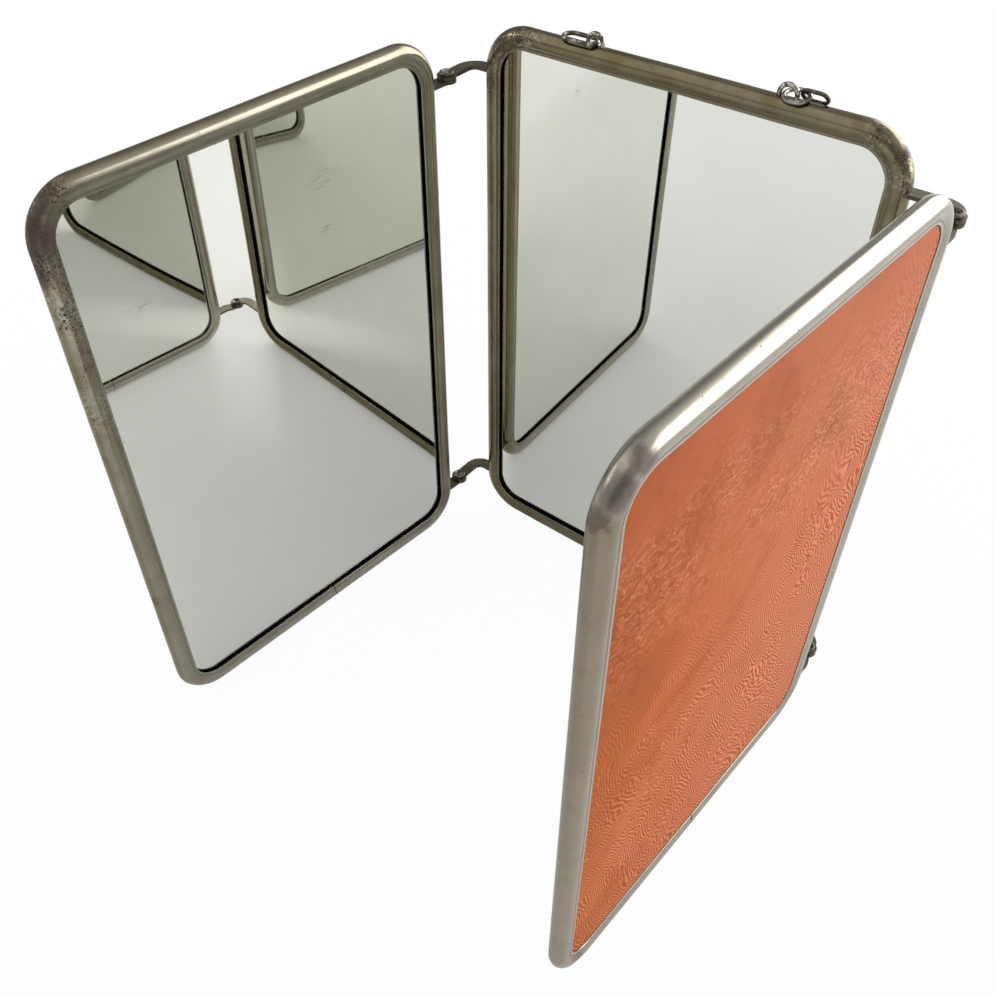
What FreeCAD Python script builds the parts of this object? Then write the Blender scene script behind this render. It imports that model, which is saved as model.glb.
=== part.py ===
"""Trifold vanity mirror: three framed panels on riveted strip hinges, as a parametric document.

The centre panel stands on z = 0 with its mirror facing -Y, and its bottom centre is the origin.
Each wing is drawn opened flat, about its own hinge pin, and is then turned to the angle it rests at.
"""
import os

import FreeCAD
import Part
import Sketcher

DRIVING_SIZES = {
    # panel outline
    "panel_width": 150.0,
    "panel_height": 220.0,
    "corner_radius": 17.0,
    # rolled nickel channel: a hollow round bead with a flat lip on each side of the glass
    "bead_radius": 3.35,
    "bead_wall": 0.55,
    "foot_flat": 0.054,
    "lip_inset": 7.0,
    "lip_outer": 2.6,
    "lip_root_inset": 5.2,
    "centre_seam_shift": 4.0,
    "left_seam_shift": 2.0,
    "right_seam_shift": -1.2,
    "seam_gap": 0.22,
    "splice_length": 22.0,
    "splice_wall": 0.5,
    "splice_clearance": 0.02,
    # what the channel grips
    "sheet_inset": 3.6,
    "glass_thickness": 3.0,
    "board_thickness": 1.1,
    "cover_thickness": 0.25,
    "cover_inset": 7.4,
    # strip hinges
    "arm_width": 5.0,
    "arm_thickness": 1.2,
    "arm_gap": 0.1,
    "arm_bend": 5.0,
    "arm_tail": 3.2,
    "arm_sway_bend": 6.0,
    "tab_height": 4.0,
    "tab_width": 4.2,
    "eye_radius": 3.4,
    "slot_clearance": 0.12,
    "low_arm_level": 16.4,
    "high_arm_level": 202.4,
    "left_pivot_out": 7.2,
    "left_pivot_front": 14.0,
    "left_reach": 7.2,
    "left_sway": 0.0,
    "left_angle": 85.2,
    "right_pivot_out": 14.0,
    "right_pivot_front": 5.6,
    "right_reach": 11.6,
    "right_sway": 1.4,
    "right_angle": 92.4,
    # pivot rivets
    "shank_radius": 1.3,
    "running_clearance": 0.07,
    "rivet_head_radius": 2.2,
    "rivet_head_height": 0.45,
    "rivet_rim_radius": 1.65,
    "rivet_rim_wire": 0.45,
    # hanging eyes, and the loose links left on them
    "eye_spacing": 66.0,
    "eye_shift": 1.2,
    "eye_wire": 0.75,
    "eye_arch": 2.75,
    "eye_spring": 0.7,
    "eye_foot": 3.0,
    "eye_foot_bend": 1.0,
    "eye_foot_depth": 2.2,
    "rest_gap": 0.06,
    "left_link_wire": 0.72,
    "left_link_length": 11.2,
    "left_link_width": 5.8,
    "left_link_near": 31.3,
    "left_link_tilt": 16.0,
    "right_ring_wire": 0.7,
    "right_ring_radius": 3.7,
    "right_ring_near": 33.15,
    "right_ring_tilt": 10.0,
    "right_link_wire": 0.6,
    "right_link_length": 7.8,
    "right_link_width": 4.1,
    "right_link_tilt": 122.3,
    "right_link_near": 37.6,
    "right_link_back": 2.32,
    "right_link_height": 0.82,
}

doc = FreeCAD.newDocument("TrifoldMirror")
sheet = doc.addObject("Spreadsheet::Sheet", "Sizes")
for row, (alias, size) in enumerate(DRIVING_SIZES.items(), start=1):
    sheet.set("A%d" % row, alias)
    sheet.set("B%d" % row, repr(size))
    sheet.setAlias("B%d" % row, alias)
doc.recompute()


def sized(text):
    """The expression with every driving size named in full, as a bound property needs it."""
    words = []
    word = ""
    for letter in text + " ":
        if letter.isalnum() or letter == "_":
            word += letter
        else:
            words.append("Sizes." + word if word in DRIVING_SIZES else word)
            words.append(letter)
            word = ""
    return "".join(words).strip()


def value(text):
    """What an expression comes to, as a plain number."""
    number = sheet.evalExpression(sized(text))
    return float(getattr(number, "Value", number))


def bind(thing, prop, text):
    """Tie one property to the sheet."""
    thing.setExpression(prop, sized(text))


# ---------------------------------------------------------------- sketches and bodies

def new_body(name):
    body = doc.addObject("PartDesign::Body", name)
    body.Label = name
    return body


def new_sketch(body, name, plane, lift="0"):
    """A sketch on one of the body's own origin planes, lifted along that plane's normal."""
    sketch = body.newObject("Sketcher::SketchObject", name)
    role = [feature for feature in body.Origin.OriginFeatures if feature.Role == plane]
    sketch.AttachmentSupport = [(role[0], "")]
    sketch.MapMode = "FlatFace"
    bind(sketch, "AttachmentOffset.Base.z", lift)
    return sketch


def pin(sketch, geometry, point, x, y):
    """Fix one point of a sketch at the two expressions."""
    for axis, kind, text in ((-2, "DistanceX", x), (-1, "DistanceY", y)):
        size = value(text)
        if abs(size) < 1e-9:
            sketch.addConstraint(Sketcher.Constraint("PointOnObject", geometry, point, axis))
            continue
        index = sketch.addConstraint(Sketcher.Constraint(kind, -1, 1, geometry, point, size))
        bind(sketch, "Constraints[%d]" % index, text)


def arc_between(start, end, radius, turn, long_way):
    """The arc from start to end, with its middle on the left when turn is +1."""
    chord = end - start
    half = chord.Length / 2
    rise = max(radius * radius - half * half, 0.0) ** 0.5
    side = FreeCAD.Vector(-chord.y, chord.x, 0)
    side.normalize()
    side.multiply(rise * turn * (-1 if long_way else 1))
    centre = (start + end) * 0.5 + side
    first, last = (start, end) if turn > 0 else (end, start)
    circle = Part.Circle(centre, FreeCAD.Vector(0, 0, 1), radius)
    return Part.ArcOfCircle(circle, circle.parameter(first), circle.parameter(last))


def outline(sketch, corners, closed=True):
    """Draw a run of lines and arcs. A corner is (x, y) or (x, y, radius, turn[, 'long'])."""
    spots = [FreeCAD.Vector(value(corner[0]), value(corner[1]), 0) for corner in corners]
    stretches = len(corners) if closed else len(corners) - 1
    ends = []
    for number in range(stretches):
        corner = corners[number]
        start = spots[number]
        end = spots[(number + 1) % len(corners)]
        if len(corner) == 2:
            index = sketch.addGeometry(Part.LineSegment(start, end), False)
            ends.append((index, 1, 2))
            continue
        arc = arc_between(start, end, value(corner[2]), corner[3], len(corner) > 4)
        index = sketch.addGeometry(arc, False)
        ends.append((index, 1, 2) if corner[3] > 0 else (index, 2, 1))
        radius = sketch.addConstraint(Sketcher.Constraint("Radius", index, value(corner[2])))
        bind(sketch, "Constraints[%d]" % radius, corner[2])
    for number, (index, first, last) in enumerate(ends):
        pin(sketch, index, first, corners[number][0], corners[number][1])
        if closed or number + 1 < stretches:
            following = ends[(number + 1) % stretches]
            joint = ("Coincident", index, last, following[0], following[1])
            sketch.addConstraint(Sketcher.Constraint(*joint))
    if not closed:
        pin(sketch, ends[-1][0], ends[-1][2], corners[-1][0], corners[-1][1])


def ring(sketch, x, y, radius):
    """A circle with its middle and radius tied to the sheet."""
    circle = Part.Circle(FreeCAD.Vector(value(x), value(y), 0), FreeCAD.Vector(0, 0, 1), value(radius))
    index = sketch.addGeometry(circle, False)
    pin(sketch, index, 3, x, y)
    size = sketch.addConstraint(Sketcher.Constraint("Radius", index, value(radius)))
    bind(sketch, "Constraints[%d]" % size, radius)


def box_outline(left, right, low, high):
    return [(left, low), (right, low), (right, high), (left, high)]


def panel_outline(inset, low=None):
    """The panel's rounded rectangle, drawn inset from its outer edge all round."""
    side = "panel_width / 2 - (%s)" % inset
    bend = "corner_radius - (%s)" % inset
    bottom = low or inset
    top = "panel_height - (%s)" % inset
    run = "panel_width / 2 - corner_radius"
    return [
        ("-(%s)" % run, bottom),
        (run, bottom, bend, 1),
        (side, "%s + (%s)" % (bottom, bend)),
        (side, "panel_height - corner_radius", bend, 1),
        (run, top),
        ("-(%s)" % run, top, bend, 1),
        ("-(%s)" % side, "panel_height - corner_radius"),
        ("-(%s)" % side, "%s + (%s)" % (bottom, bend), bend, 1),
    ]


def finish(body, feature):
    """Make the feature the body's tip, and stop if it has no solid of its own."""
    body.Tip = feature
    doc.recompute()
    if feature.Shape.isNull() or not feature.Shape.isValid():
        raise RuntimeError("%s made no valid solid" % feature.Name)
    return feature


def pad(body, sketch, length, middle=False, backwards=False):
    feature = body.newObject("PartDesign::Pad", sketch.Name + "Pad")
    feature.Profile = sketch
    bind(feature, "Length", length)
    feature.Midplane = middle
    feature.Reversed = backwards
    sketch.Visibility = False
    return finish(body, feature)


def pocket(body, sketch, length, middle=False, backwards=False):
    """Cut the sketch out of the body, and stop if nothing was cut."""
    before = body.Tip.Shape.Volume
    feature = body.newObject("PartDesign::Pocket", sketch.Name + "Cut")
    feature.Profile = sketch
    bind(feature, "Length", length)
    feature.Midplane = middle
    feature.Reversed = backwards
    sketch.Visibility = False
    finish(body, feature)
    if feature.Shape.Volume > before - 1e-6:
        raise RuntimeError("%s cuts nothing" % feature.Name)
    return feature


def sweep(body, profile, path, cut=False):
    """Run a profile along a path, as added or as removed material."""
    kind = "PartDesign::SubtractivePipe" if cut else "PartDesign::AdditivePipe"
    feature = body.newObject(kind, profile.Name + "Run")
    feature.Profile = profile
    feature.Spine = path
    feature.Mode = "Frenet"
    profile.Visibility = False
    path.Visibility = False
    return finish(body, feature)


# ---------------------------------------------------------------- where each piece goes

def turn_about(thing, pivot_x, pivot_y, angle, local_x="0", local_y="0", height="0"):
    """Place a piece whose own origin is local_x, local_y from a pin, turned about that pin."""
    thing.Placement = FreeCAD.Placement(FreeCAD.Vector(), FreeCAD.Rotation(FreeCAD.Vector(0, 0, 1), 1))
    places = {"x": pivot_x, "y": pivot_y, "angle": angle, "across": local_x, "back": local_y}
    bind(thing, "Placement.Rotation.Angle", angle)
    across = "(%(x)s) + cos(%(angle)s) * (%(across)s) - sin(%(angle)s) * (%(back)s)"
    back = "(%(y)s) + sin(%(angle)s) * (%(across)s) + cos(%(angle)s) * (%(back)s)"
    bind(thing, "Placement.Base.x", across % places)
    bind(thing, "Placement.Base.y", back % places)
    bind(thing, "Placement.Base.z", height)


PIVOT = {
    "left": ("-(panel_width / 2 + left_pivot_out)", "-left_pivot_front", "left_angle"),
    "right": ("panel_width / 2 + right_pivot_out", "-right_pivot_front", "-right_angle"),
}
SIDE_SIGN = {"left": -1, "right": 1}
ARM_LEVELS = {"lower": "low_arm_level", "upper": "high_arm_level"}


def place_panel_piece(piece, panel):
    """The centre panel stands at the origin. A wing's panel hangs from its pin by the reach."""
    if panel == "centre":
        return
    across = "%d * (%s_reach + panel_width / 2)" % (SIDE_SIGN[panel], panel)
    turn_about(piece, *PIVOT[panel], local_x=across, local_y="%s_sway" % panel)


# ---------------------------------------------------------------- one framed panel

def make_frame(panel, hinge_sides, has_eyes):
    """The rolled channel: round bead, two lips, hollow, butt seam, arm slots and wire holes."""
    body = new_body("%s_frame" % panel)
    low = "bead_radius - foot_flat"

    path = new_sketch(body, "%sBeadPath" % panel, "XZ_Plane")
    outline(path, panel_outline("bead_radius", low))
    bead = new_sketch(body, "%sBead" % panel, "YZ_Plane")
    ring(bead, "0", low, "bead_radius")
    sweep(body, bead, path)

    lips = new_sketch(body, "%sLips" % panel, "XZ_Plane")
    outline(lips, panel_outline("lip_root_inset"))
    outline(lips, panel_outline("lip_inset"))
    pad(body, lips, "2 * lip_outer", middle=True)

    mouth = new_sketch(body, "%sMouth" % panel, "XZ_Plane")
    outline(mouth, panel_outline("bead_radius"))
    pocket(body, mouth, "2 * (lip_outer - bead_wall)", middle=True)

    hollow_path = new_sketch(body, "%sHollowPath" % panel, "XZ_Plane")
    outline(hollow_path, panel_outline("bead_radius", low))
    hollow = new_sketch(body, "%sHollow" % panel, "YZ_Plane")
    ring(hollow, "0", low, "bead_radius - bead_wall")
    sweep(body, hollow, hollow_path, cut=True)

    foot = new_sketch(body, "%sFoot" % panel, "XZ_Plane")
    outline(foot, box_outline("-panel_width", "panel_width", "-bead_radius", "0"))
    pocket(body, foot, "4 * bead_radius", middle=True)

    seam = new_sketch(body, "%sSeam" % panel, "XZ_Plane")
    seam_end = panel + "_seam_shift %s seam_gap / 2"
    outline(seam, box_outline(seam_end % "-", seam_end % "+", "-bead_radius", "lip_inset + bead_radius"))
    pocket(body, seam, "4 * bead_radius", middle=True)

    reach = "arm_width / 2 + slot_clearance"
    for side in hinge_sides:
        sign = SIDE_SIGN[side]
        slots = new_sketch(body, "%s%sSlots" % (panel, side), "YZ_Plane",
                           "%d * (panel_width / 2 - bead_radius)" % sign)
        for level in ARM_LEVELS.values():
            base = level if panel == "centre" else "%s - arm_thickness - arm_gap" % level
            floor = "%s - slot_clearance" % base
            ceiling = "%s + arm_thickness + slot_clearance" % base
            outline(slots, box_outline("-(%s)" % reach, reach, floor, ceiling))
        pocket(body, slots, "2 * bead_radius", backwards=sign > 0)

    if has_eyes:
        holes = new_sketch(body, "%sWireHoles" % panel, "XY_Plane", "panel_height - bead_radius")
        for middle in ("-eye_spacing / 2", "eye_spacing / 2"):
            for leg in ("-eye_arch", "eye_arch"):
                hole_x = "%s + eye_shift + %s" % (middle, leg)
                ring(holes, hole_x, "0", "eye_wire + slot_clearance / 2")
        pocket(body, holes, "2 * bead_radius", backwards=True)
    place_panel_piece(body, panel)
    return body


def make_sheet(panel, name, inset, back, thickness):
    """A rounded sheet that lies in the panel, with its rear face at y = back."""
    body = new_body("%s_%s" % (panel, name))
    face = new_sketch(body, body.Name + "Face", "XZ_Plane", "-(%s)" % back)
    outline(face, panel_outline(inset))
    pad(body, face, thickness)
    place_panel_piece(body, panel)
    return body


def make_splice(panel):
    """The tongue inside the channel that keeps the two butted ends in line."""
    body = new_body("%s_frame_splice" % panel)
    level = "bead_radius - foot_flat"
    outer = "bead_radius - bead_wall - splice_clearance"
    inner = "%s - splice_wall" % outer
    section = new_sketch(body, "%sSplice" % panel, "YZ_Plane", panel + "_seam_shift")
    outline(section, [
        ("-(%s)" % outer, level, outer, 1),
        ("0", "%s - (%s)" % (level, outer), outer, 1),
        (outer, level),
        (inner, level, inner, -1),
        ("0", "%s - (%s)" % (level, inner), inner, -1),
        ("-(%s)" % inner, level),
    ])
    pad(body, section, "splice_length", middle=True)
    place_panel_piece(body, panel)
    return body


# ---------------------------------------------------------------- strip hinges

def add_tail_and_hole(body, root_x, tail_sign, level, pin_x, pin_y, hole_radius, centre_y="0"):
    """The tab that holds the arm inside the channel, and the hole for the rivet."""
    tab = new_sketch(body, body.Name + "Tab", "XY_Plane", level)
    inner = "(%s) + %d * arm_tail" % (root_x, tail_sign)
    outer = "%s - %d * arm_thickness" % (inner, tail_sign)
    sides = (outer, inner) if tail_sign > 0 else (inner, outer)
    half = "tab_width / 2"
    outline(tab, box_outline(*sides, "%s - %s" % (centre_y, half), "%s + %s" % (centre_y, half)))
    pad(body, tab, "tab_height")
    hole = new_sketch(body, body.Name + "Hole", "XY_Plane", level)
    ring(hole, pin_x, pin_y, hole_radius)
    pocket(body, hole, "arm_thickness", backwards=True)


def eye_spread(half="arm_width / 2"):
    """How far from the pin the eye's circle meets the strip's straight sides."""
    return "sqrt(eye_radius * eye_radius - (%s) * (%s))" % (half, half)


def make_centre_arm(side, height_name):
    """A flat strip that leaves the frame, bends forward through a quarter turn and ends in an eye."""
    sign = SIDE_SIGN[side]
    level = ARM_LEVELS[height_name]
    pin_x, pin_y, _ = PIVOT[side]
    body = new_body("centre_%s_%s_arm" % (side, height_name))
    half = "arm_width / 2"
    tail_x = "%d * (panel_width / 2 - arm_tail)" % sign
    bend_x = "(%s) - %d * arm_bend" % (pin_x, sign)
    outside = "(%s) + %d * %s" % (pin_x, sign, half)
    inside = "(%s) - %d * %s" % (pin_x, sign, half)
    neck_y = "(%s) + %s" % (pin_y, eye_spread())
    strip = new_sketch(body, body.Name + "Strip", "XY_Plane", level)
    corners = [
        (tail_x, half),
        (bend_x, half, "arm_bend + %s" % half, -sign),
        (outside, "-arm_bend"),
        (outside, neck_y, "eye_radius", -sign, "long"),
        (inside, neck_y),
        (inside, "-arm_bend", "arm_bend - %s" % half, sign),
        (bend_x, "-%s" % half),
        (tail_x, "-%s" % half),
    ]
    if value(neck_y) > value("-arm_bend"):
        # the pin lies inside the bend, so the eye takes the place of the strip's forward run
        corners = short_arm_corners(sign, pin_x, pin_y, tail_x, bend_x, half)
    outline(strip, corners)
    pad(body, strip, "arm_thickness")
    add_tail_and_hole(body, "%d * panel_width / 2" % sign, -sign, level, pin_x, pin_y, "shank_radius")
    return body


def short_arm_corners(sign, pin_x, pin_y, tail_x, bend_x, half):
    """The same strip when its eye starts before the bend has ended."""
    outer = "arm_bend + %s" % half
    inner = "arm_bend - %s" % half
    # heights at which the eye's circle crosses the two arcs of the bend, measured from the pin
    away = "(arm_bend + (%s))" % pin_y
    span = "sqrt(arm_bend * arm_bend + %s * %s)" % (away, away)

    def crossing(radius, outward):
        """Where the eye meets the arc of this radius about the bend's middle."""
        along = "((%s) * (%s) - eye_radius * eye_radius + (%s) * (%s)) / (2 * %s)" % (
            radius, radius, span, span, span)
        off = "sqrt((%s) * (%s) - (%s) * (%s))" % (radius, radius, along, along)
        unit_x = "(%d * arm_bend / %s)" % (sign, span)
        unit_y = "(%s / %s)" % (away, span)
        swing = 1 if outward else -1
        x = "(%s) + (%s) * %s - %d * (%s) * %s" % (bend_x, along, unit_x, swing * sign, off, unit_y)
        y = "-arm_bend + (%s) * %s + %d * (%s) * %s" % (along, unit_y, swing * sign, off, unit_x)
        return x, y

    outer_x, outer_y = crossing(outer, True)
    inner_x, inner_y = crossing(inner, True)
    return [
        (tail_x, half),
        (bend_x, half, outer, -sign),
        (outer_x, outer_y, "eye_radius", -sign, "long"),
        (inner_x, inner_y, inner, sign),
        (bend_x, "-%s" % half),
        (tail_x, "-%s" % half),
    ]


def make_wing_arm(side, height_name):
    """The wing's strip, drawn with its pin at the origin: eye, gentle sway, tail in the channel."""
    sign = SIDE_SIGN[side]
    level = "%s - arm_thickness - arm_gap" % ARM_LEVELS[height_name]
    body = new_body("%s_wing_%s_arm" % (side, height_name))
    half = "arm_width / 2"
    sway = "%s_sway" % side
    tail_x = "%d * (%s_reach + arm_tail)" % (sign, side)
    neck_x = "%d * %s" % (sign, eye_spread())
    strip = new_sketch(body, body.Name + "Strip", "XY_Plane", level)
    corners = [
        (neck_x, half, "eye_radius", sign, "long"),
        (neck_x, "-%s" % half),
    ]
    if value(sway) < 1e-9:
        corners += [(tail_x, "-%s" % half), (tail_x, half)]
    else:
        # two equal bends, one each way, carry the strip across by the sway
        run = "sqrt(%s * (4 * arm_sway_bend - %s))" % (sway, sway)
        start = neck_x
        middle = "(%s) + %d * %s / 2" % (start, sign, run)
        finish_x = "(%s) + %d * %s" % (start, sign, run)
        near = "arm_sway_bend - %s" % half
        far = "arm_sway_bend + %s" % half
        lean_x = "%s * (%s / (2 * arm_sway_bend))" % (half, run)
        lean_y = "%s * (1 - %s / (2 * arm_sway_bend))" % (half, sway)
        corners = [
            (neck_x, half, "eye_radius", sign, "long"),
            (neck_x, "-%s" % half, far, sign),
            ("%s + %d * %s" % (middle, sign, lean_x), "%s / 2 - %s" % (sway, lean_y), near, -sign),
            (finish_x, "%s - %s" % (sway, half)),
            (tail_x, "%s - %s" % (sway, half)),
            (tail_x, "%s + %s" % (sway, half)),
            (finish_x, "%s + %s" % (sway, half), far, sign),
            ("%s - %d * %s" % (middle, sign, lean_x), "%s / 2 + %s" % (sway, lean_y), near, -sign),
        ]
    outline(strip, corners)
    pad(body, strip, "arm_thickness")
    add_tail_and_hole(body, "%d * %s_reach" % (sign, side), sign, level, "0", "0",
                      "shank_radius + running_clearance", sway)
    turn_about(body, *PIVOT[side])
    return body


def make_rivets():
    """Four tubular rivets: shank, flat heads and a rolled rim, each through a pair of eyes."""
    rivets = []
    for side in ("left", "right"):
        for height_name, level in ARM_LEVELS.items():
            top = "%s + arm_thickness" % level
            under = "%s - arm_thickness - 2 * arm_gap" % level
            parts = [
                ("Shank", "Part::Cylinder", under, {"Radius": "shank_radius",
                                                    "Height": "(%s) - (%s)" % (top, under)}),
                ("Head", "Part::Cylinder", top, {"Radius": "rivet_head_radius",
                                                 "Height": "rivet_head_height"}),
                ("Rim", "Part::Torus", "%s + rivet_head_height" % top,
                 {"Radius1": "rivet_rim_radius", "Radius2": "rivet_rim_wire"}),
                ("Foot", "Part::Cylinder", "%s - rivet_head_height" % under,
                 {"Radius": "rivet_head_radius", "Height": "rivet_head_height"}),
            ]
            pieces = []
            for part_name, kind, height, sizes in parts:
                piece = doc.addObject(kind, "Rivet%s%s%s" % (side, height_name, part_name))
                for prop, text in sizes.items():
                    bind(piece, prop, text)
                for axis, text in (("x", PIVOT[side][0]), ("y", PIVOT[side][1]), ("z", height)):
                    bind(piece, "Placement.Base." + axis, text)
                pieces.append(piece)
            rivet = doc.addObject("Part::MultiFuse", "Rivet%s%s" % (side, height_name))
            rivet.Shapes = pieces
            rivets.append(rivet)
    group = doc.addObject("Part::Compound", "pivot_rivets")
    group.Label = "pivot_rivets"
    group.Links = rivets
    return group


# ---------------------------------------------------------------- hanging eyes and links

def make_hanging_eye(side):
    """A bent wire staple through the top bar, with its feet turned out inside the channel."""
    middle = "(%d * eye_spacing / 2 + eye_shift)" % SIDE_SIGN[side]
    body = new_body("%s_hanging_eye" % side)
    foot_z = "panel_height - bead_wall - eye_foot_depth"
    bend_z = "%s + eye_foot_bend" % foot_z
    spring_z = "panel_height + eye_spring"
    left_leg = "%s - eye_arch" % middle
    right_leg = "%s + eye_arch" % middle
    path = new_sketch(body, body.Name + "Path", "XZ_Plane")
    outline(path, [
        ("%s - eye_foot" % left_leg, foot_z),
        ("%s - eye_foot_bend" % left_leg, foot_z, "eye_foot_bend", 1),
        (left_leg, bend_z),
        (left_leg, spring_z, "eye_arch", -1),
        (middle, "%s + eye_arch" % spring_z, "eye_arch", -1),
        (right_leg, spring_z),
        (right_leg, bend_z, "eye_foot_bend", 1),
        ("%s + eye_foot_bend" % right_leg, foot_z),
        ("%s + eye_foot" % right_leg, foot_z),
    ], closed=False)
    wire = new_sketch(body, body.Name + "Wire", "YZ_Plane", "%s - eye_foot" % left_leg)
    ring(wire, "0", foot_z, "eye_wire")
    sweep(body, wire, path)
    return body


def lay_down(piece, tilt, x, y, z):
    """Tilt a loop about its own length and set its near end at a point."""
    piece.Placement = FreeCAD.Placement(FreeCAD.Vector(), FreeCAD.Rotation(FreeCAD.Vector(1, 0, 0), 1))
    bind(piece, "Placement.Rotation.Angle", tilt)
    bind(piece, "Placement.Base.x", x)
    bind(piece, "Placement.Base.y", y)
    bind(piece, "Placement.Base.z", z)


def resting_height(wire, tilt):
    """The height at which a tilted loop of this wire just clears the round top bar."""
    reach = "(bead_radius + %s + rest_gap) / cos(%s)" % (wire, tilt)
    return "panel_height - bead_radius + %s" % reach


def make_oval_link(name, sign):
    """An oval wire link, drawn flat from its near end outwards along X."""
    body = new_body("%s_link" % name)
    wire = "%s_link_wire" % name
    half = "%s_link_width / 2" % name
    far = "%d * %s_link_length" % (sign, name)
    start_x = "%d * %s" % (sign, half)
    end_x = "(%s) - %d * %s" % (far, sign, half)
    path = new_sketch(body, body.Name + "Path", "XY_Plane")
    outline(path, [
        (start_x, "-%s" % half),
        (end_x, "-%s" % half, half, sign),
        (far, "0", half, sign),
        (end_x, half),
        (start_x, half, half, sign),
        ("0", "0", half, sign),
    ])
    section = new_sketch(body, body.Name + "Wire", "YZ_Plane", "%d * %s_link_length / 2" % (sign, name))
    ring(section, "-%s" % half, "0", wire)
    sweep(body, section, path)
    return body


def make_loose_links():
    """The oval link on the left eye, and the ring and link on the right eye."""
    left = make_oval_link("left", -1)
    left_height = resting_height("left_link_wire", "left_link_tilt")
    lay_down(left, "left_link_tilt", "-left_link_near", "0", left_height)
    loop = doc.addObject("Part::Torus", "right_ring")
    loop.Label = "right_ring"
    bind(loop, "Radius1", "right_ring_radius")
    bind(loop, "Radius2", "right_ring_wire")
    loop_height = resting_height("right_ring_wire", "right_ring_tilt")
    lay_down(loop, "right_ring_tilt", "right_ring_near + right_ring_radius", "0", loop_height)
    right = make_oval_link("right", 1)
    height = "panel_height + right_link_height"
    lay_down(right, "right_link_tilt", "right_link_near", "right_link_back", height)
    return [left, loop, right]


# ---------------------------------------------------------------- the whole mirror

HINGE_SIDES = {"centre": ("left", "right"), "left": ("right",), "right": ("left",)}
pieces = []
for panel_name, sides in HINGE_SIDES.items():
    glass_back = "glass_thickness + bead_wall - lip_outer"
    board_back = "%s + board_thickness" % glass_back
    pieces.append(make_frame(panel_name, sides, panel_name == "centre"))
    pieces.append(make_sheet(panel_name, "mirror_glass", "sheet_inset", glass_back, "glass_thickness"))
    pieces.append(make_sheet(panel_name, "backing_board", "sheet_inset", board_back, "board_thickness"))
    pieces.append(make_sheet(panel_name, "back_cover", "cover_inset",
                             "%s + cover_thickness" % board_back, "cover_thickness"))
    pieces.append(make_splice(panel_name))
for side_name in ("left", "right"):
    for height in ARM_LEVELS:
        pieces.append(make_centre_arm(side_name, height))
        pieces.append(make_wing_arm(side_name, height))
    pieces.append(make_hanging_eye(side_name))
pieces.extend(make_loose_links())
pieces.append(make_rivets())

doc.recompute()
for thing in doc.Objects:
    if "Invalid" in thing.State or "Error" in thing.State:
        raise RuntimeError("%s is in error" % thing.Name)
os.makedirs("parts", exist_ok=True)
for piece in pieces:
    if piece.Shape.isNull() or not piece.Shape.isValid():
        raise RuntimeError("%s has no valid shape" % piece.Label)
    piece.Shape.exportStep("parts/%s.step" % piece.Label)
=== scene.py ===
"""Trifold vanity mirror: nickel frames, silvered glass, grained backs, strip hinges and wire eyes."""

import math

import bmesh
import bpy
from bpy.props import FloatProperty, FloatVectorProperty, PointerProperty
from mathutils import Matrix, Vector, noise


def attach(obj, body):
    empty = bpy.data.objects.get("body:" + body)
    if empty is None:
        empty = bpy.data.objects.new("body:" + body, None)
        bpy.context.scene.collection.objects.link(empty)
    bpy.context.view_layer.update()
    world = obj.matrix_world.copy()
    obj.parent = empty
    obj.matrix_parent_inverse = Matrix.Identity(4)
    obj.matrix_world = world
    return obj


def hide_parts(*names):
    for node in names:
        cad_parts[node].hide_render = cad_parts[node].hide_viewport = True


bl_info = {
    "name": "Trifold mirror",
    "version": (1, 0, 0),
    "blender": (4, 5, 0),
    "location": "3D View > Sidebar > Mirror",
    "description": "Dresses a folding mirror's frame with its rolled channels, glass, backs and fittings",
    "category": "Object",
}

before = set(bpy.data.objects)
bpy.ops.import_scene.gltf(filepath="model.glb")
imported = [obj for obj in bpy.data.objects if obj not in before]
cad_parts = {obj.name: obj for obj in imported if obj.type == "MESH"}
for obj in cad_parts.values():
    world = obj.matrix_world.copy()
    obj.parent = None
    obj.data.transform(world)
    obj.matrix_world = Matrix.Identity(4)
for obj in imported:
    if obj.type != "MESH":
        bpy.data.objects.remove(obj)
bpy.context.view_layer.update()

MM = 0.001
QUARTER = math.pi / 2
PANELS = ("centre", "left", "right")
PANEL_BODY = {"centre": "centre", "left": "left_wing", "right": "right_wing"}
SIDE = {"left": -1, "right": 1}
ARM_LEVELS = {"lower": 16.4, "upper": 202.4}
UP = Vector((0, 0, 1))
BACK = Vector((0, 1, 0))


# ------------------------------ sizes and colours

def length(name, description, default):
    """A size in metres, given here in millimetres."""
    return FloatProperty(name=name, description=description, default=default * MM, subtype="DISTANCE",
                         unit="LENGTH", precision=5)


def turn(name, description, degrees):
    return FloatProperty(name=name, description=description, default=math.radians(degrees),
                         subtype="ANGLE", unit="ROTATION")


def colour(name, description, default):
    return FloatVectorProperty(name=name, description=description, default=default, size=3,
                               subtype="COLOR", min=0, max=1)


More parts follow.
